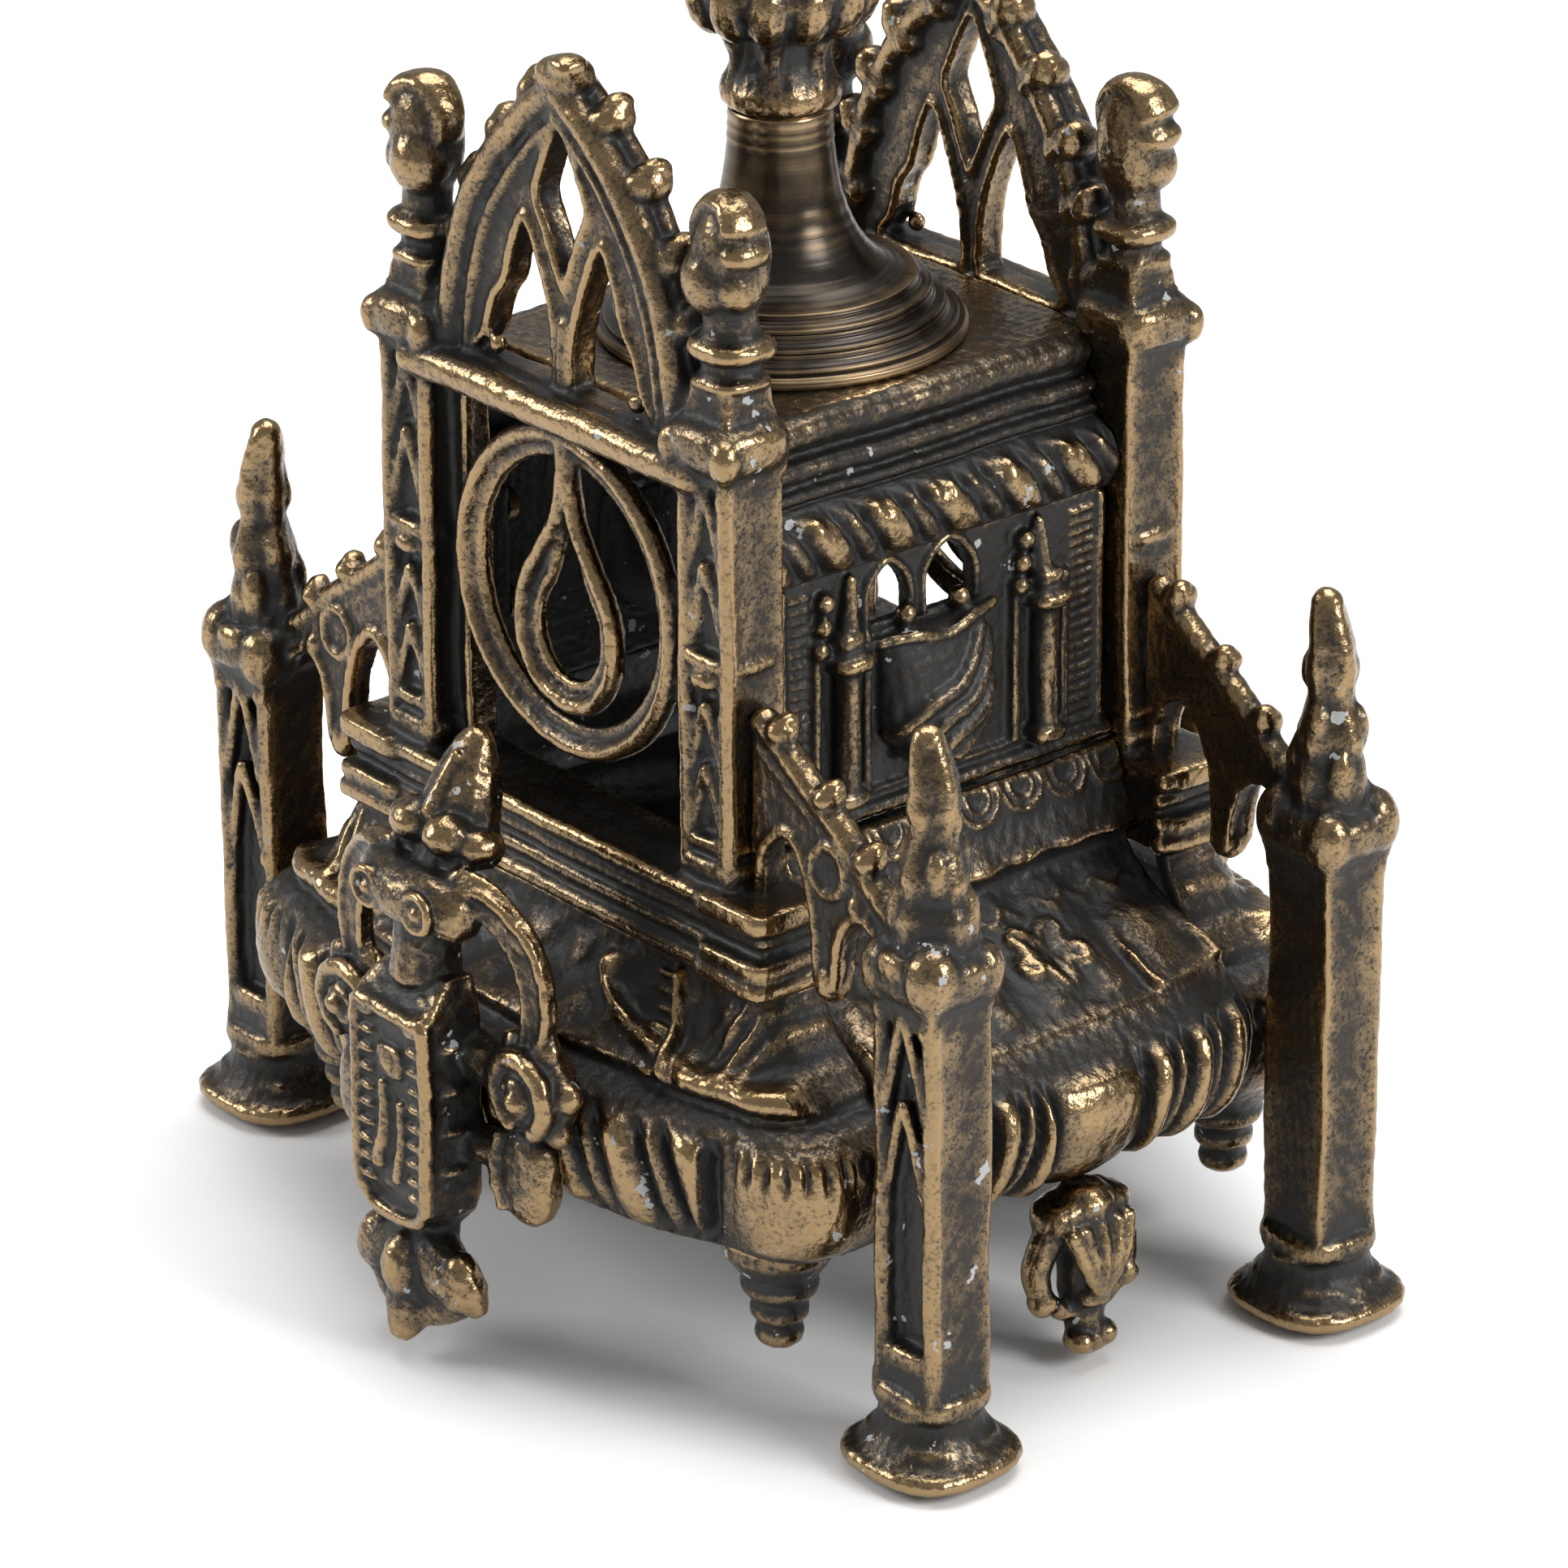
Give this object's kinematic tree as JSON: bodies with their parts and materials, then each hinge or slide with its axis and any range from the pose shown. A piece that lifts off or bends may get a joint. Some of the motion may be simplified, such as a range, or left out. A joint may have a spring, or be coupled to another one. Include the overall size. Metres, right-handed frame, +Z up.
{
  "type": "monstrance",
  "caption": "Gothic table monstrance of cast brass: footed base with two pierced screens, turned stem, sunburst head and a glazed lunette with a hinged rear door.",
  "frame": {"origin": "on the floor under the middle of the base", "axes": "+X across the front to the right, +Y from front to back, +Z up along the stem"},
  "size_m": [0.168, 0.1322, 0.466],
  "materials": {
    "cast_brass": "cast, dark patina rubbed back to bright edges",
    "dark_cast_brass": "cast, heavy dark patina with rubbed high points",
    "turned_brass": "turned, brown patina with fine lathe lines",
    "gilt_brass": "satin with darkened recesses",
    "steel": "machined",
    "glass": "clear, polished",
    "red_glass": "deep red, polished"
  },
  "bodies": {
    "base": {"front_tracery": "cast_brass", "rear_tracery": "cast_brass", "buttress_front_right": "cast_brass", "buttress_front_left": "cast_brass", "buttress_rear_right": "cast_brass", "buttress_rear_left": "cast_brass", "front_apron": "dark_cast_brass", "rear_apron": "dark_cast_brass", "right_skirt": "dark_cast_brass", "left_skirt": "dark_cast_brass", "right_panel": "dark_cast_brass", "left_panel": "dark_cast_brass", "right_cornice": "dark_cast_brass", "left_cornice": "dark_cast_brass", "top_plate": "dark_cast_brass", "screen_screws": "steel", "front_shield": "cast_brass", "rear_shield": "cast_brass", "right_pendant": "cast_brass", "left_pendant": "cast_brass", "corner_drops": "cast_brass", "tie_rod": "steel", "tie_washer": "steel", "tie_nut": "steel", "stem_flange": "turned_brass", "lower_knop": "cast_brass", "stem_collar": "turned_brass", "gothic_shaft": "cast_brass", "main_knop": "cast_brass", "knop_bosses": "gilt_brass", "upper_shaft": "turned_brass", "head_socket": "cast_brass", "head_pin": "steel", "glory": "gilt_brass", "tracery_ring": "cast_brass", "ring_rivets": "gilt_brass", "cross_finial": "cast_brass", "cross_gem": "red_glass", "lunette_case": "gilt_brass", "front_glass": "glass", "front_retainer": "gilt_brass", "luna_rail": "gilt_brass", "door_keeper": "gilt_brass", "hinge_pin": "steel"},
    "door": {"rear_door": "gilt_brass", "rear_glass": "glass", "rear_retainer": "gilt_brass", "latch_screw": "steel"},
    "latch": {"door_latch": "gilt_brass"},
    "luna": {"luna": "gilt_brass"}
  },
  "joints": [
    {"name": "rear_door_hinge", "type": "hinge", "parent": "base", "child": "door", "pos_m": [-0.0316, 0.0098, 0.354], "axis": [0, 0, 1], "range_deg": [0, 110]},
    {"name": "door_latch_turn", "type": "hinge", "parent": "door", "child": "latch", "pos_m": [0.033, 0.0114, 0.354], "axis": [0, 1, 0], "range_deg": [0, 90]},
    {"name": "luna_slide", "type": "slide", "parent": "base", "child": "luna", "axis": [0, 1, 0], "range_m": [-0.0006, 0.003]}
  ]
}
